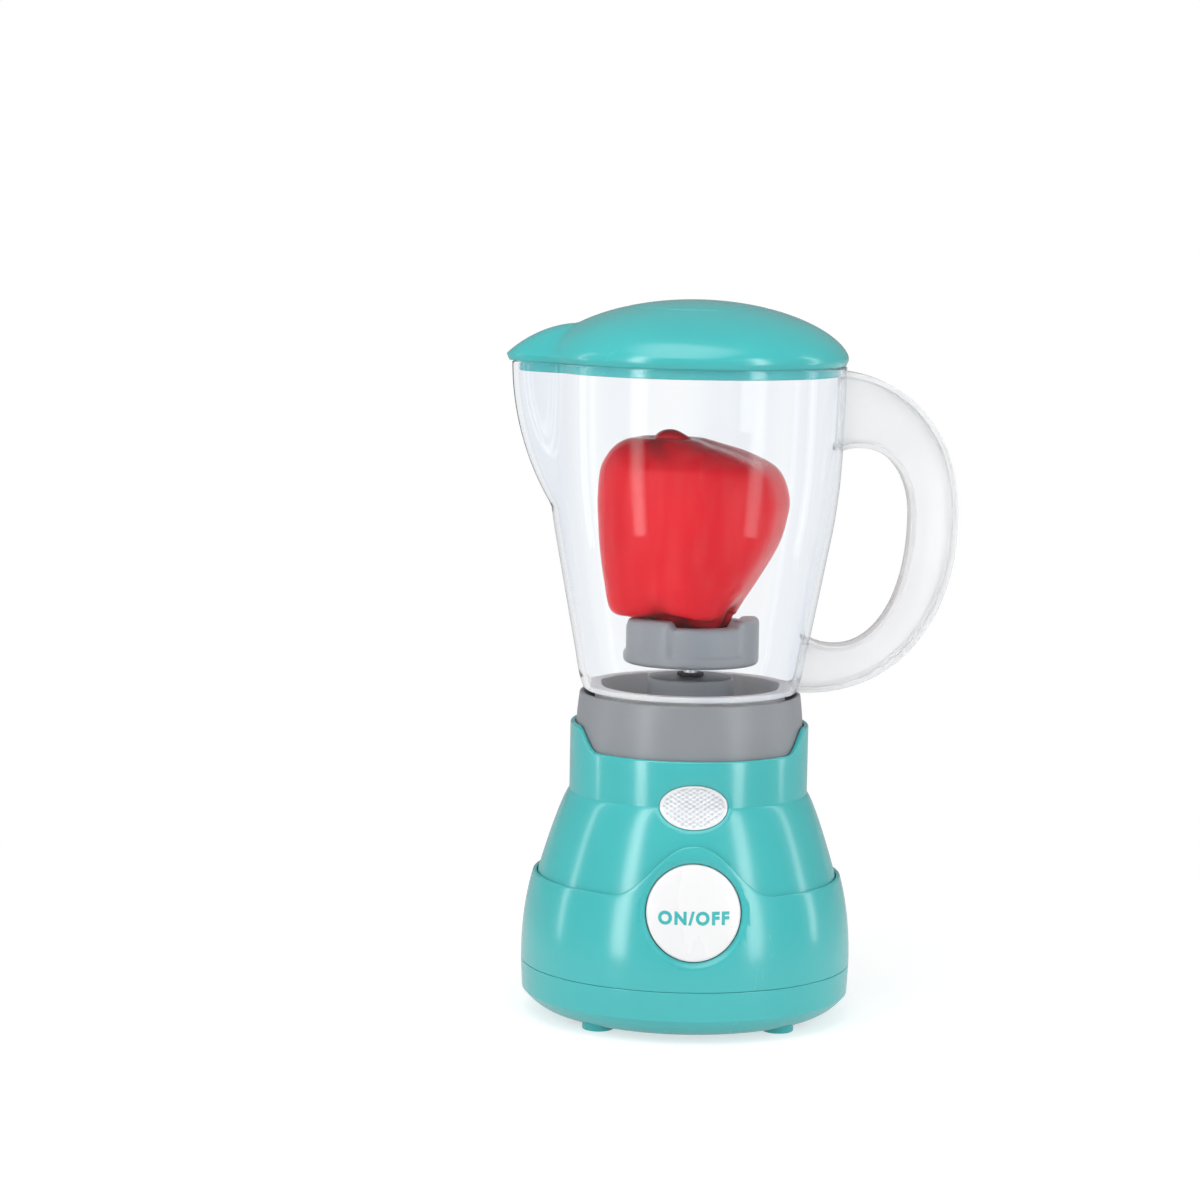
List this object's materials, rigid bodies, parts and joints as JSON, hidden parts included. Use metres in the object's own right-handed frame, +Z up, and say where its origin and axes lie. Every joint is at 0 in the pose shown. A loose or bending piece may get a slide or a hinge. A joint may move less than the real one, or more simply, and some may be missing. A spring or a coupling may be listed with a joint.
{
  "type": "toy blender",
  "caption": "Battery-driven toy blender: clear lift-off jug with lid, spout and handle, geared rotor that turns a play pepper, sprung push button and lamp.",
  "frame": {"origin": "on the floor under the middle of the base, on the rotor's axis", "axes": "+Z up along the rotor's axis, +X towards the jug's handle, -X towards its spout, -Y towards the button and the lamp"},
  "size_m": [0.1577, 0.1156, 0.2504],
  "materials": {
    "teal": "smooth turquoise plastic",
    "grey": "smooth mid-grey plastic",
    "clear": "clear plastic",
    "lens": "clear plastic with fine prisms",
    "white": "smooth white plastic",
    "red": "glossy red plastic",
    "black": "black plastic",
    "steel": "zinc-plated steel",
    "can": "plated motor can",
    "brass": "machined brass",
    "board": "green circuit board",
    "cell": "printed sleeve"
  },
  "bodies": {
    "base": {"base_pan": "teal", "battery_cell_1": "cell", "battery_cell_2": "cell", "battery_cell_3": "cell", "battery_contact_plus": "steel", "battery_contact_minus": "steel", "battery_link_right": "steel", "battery_link_left": "steel", "lower_housing": "teal", "upper_housing": "teal", "housing_screw_1": "steel", "housing_screw_2": "steel", "housing_screw_3": "steel", "housing_screw_4": "steel", "collar": "grey", "shaft_bush": "black", "gearbox_case": "white", "gearbox_cover": "white", "gearbox_screw_1": "steel", "gearbox_screw_2": "steel", "gearbox_screw_3": "steel", "motor": "can", "idler_axle": "steel", "button_guide": "white", "guide_screw_left": "steel", "guide_screw_right": "steel", "switch_body": "black", "circuit_board": "board", "lamp_lens": "lens", "lamp_holder": "white", "lamp_bulb": "lens", "lamp_screw_left": "steel", "lamp_screw_right": "steel"},
    "door": {"battery_door": "teal", "battery_door_screw": "steel"},
    "drive": {"rotor": "grey", "rotor_screw": "steel", "output_shaft": "black", "output_gear": "white"},
    "idler": {"idler_gear": "white"},
    "motor_rotor": {"motor_pinion": "brass", "motor_shaft": "steel"},
    "button": {"button_cap": "white", "button_spring": "steel", "switch_plunger": "red"},
    "jug": {"jug": "clear"},
    "lid": {"lid": "teal"},
    "pepper": {"play_pepper": "red"}
  },
  "joints": [
    {"name": "rotor_spin", "type": "hinge", "parent": "base", "child": "drive", "pos_m": [0, 0, 0.1245], "axis": [0, 0, 1], "continuous": true},
    {"name": "idler_spin", "type": "hinge", "parent": "base", "child": "idler", "pos_m": [0, 0.0168, 0.0764], "axis": [0, 0, 1], "continuous": true},
    {"name": "motor_spin", "type": "hinge", "parent": "base", "child": "motor_rotor", "pos_m": [-0.016, 0.0168, 0.0764], "axis": [0, 0, 1], "continuous": true},
    {"name": "jug_lift", "type": "slide", "parent": "base", "child": "jug", "axis": [0, 0, 1], "range_m": [0, 0.06]},
    {"name": "lid_lift", "type": "slide", "parent": "jug", "child": "lid", "axis": [0, 0, 1], "range_m": [0, 0.05]},
    {"name": "pepper_spin", "type": "hinge", "parent": "jug", "child": "pepper", "pos_m": [0, 0, 0.1415], "axis": [0, 0, 1], "continuous": true},
    {"name": "button_press", "type": "slide", "parent": "base", "child": "button", "axis": [0, 1, 0], "range_m": [0, 0.003], "stiffness_N_per_m": 400, "springref_m": -0.0015, "deforming": ["button_spring"]},
    {"name": "battery_door_off", "type": "slide", "parent": "base", "child": "door", "axis": [0, 0, -1], "range_m": [0, 0.02]}
  ],
  "couplings": [
    {"joint": "idler_spin", "follows": "rotor_spin", "ratio": -3.2},
    {"joint": "motor_spin", "follows": "rotor_spin", "ratio": 9.6},
    {"joint": "pepper_spin", "follows": "rotor_spin", "ratio": 1}
  ]
}
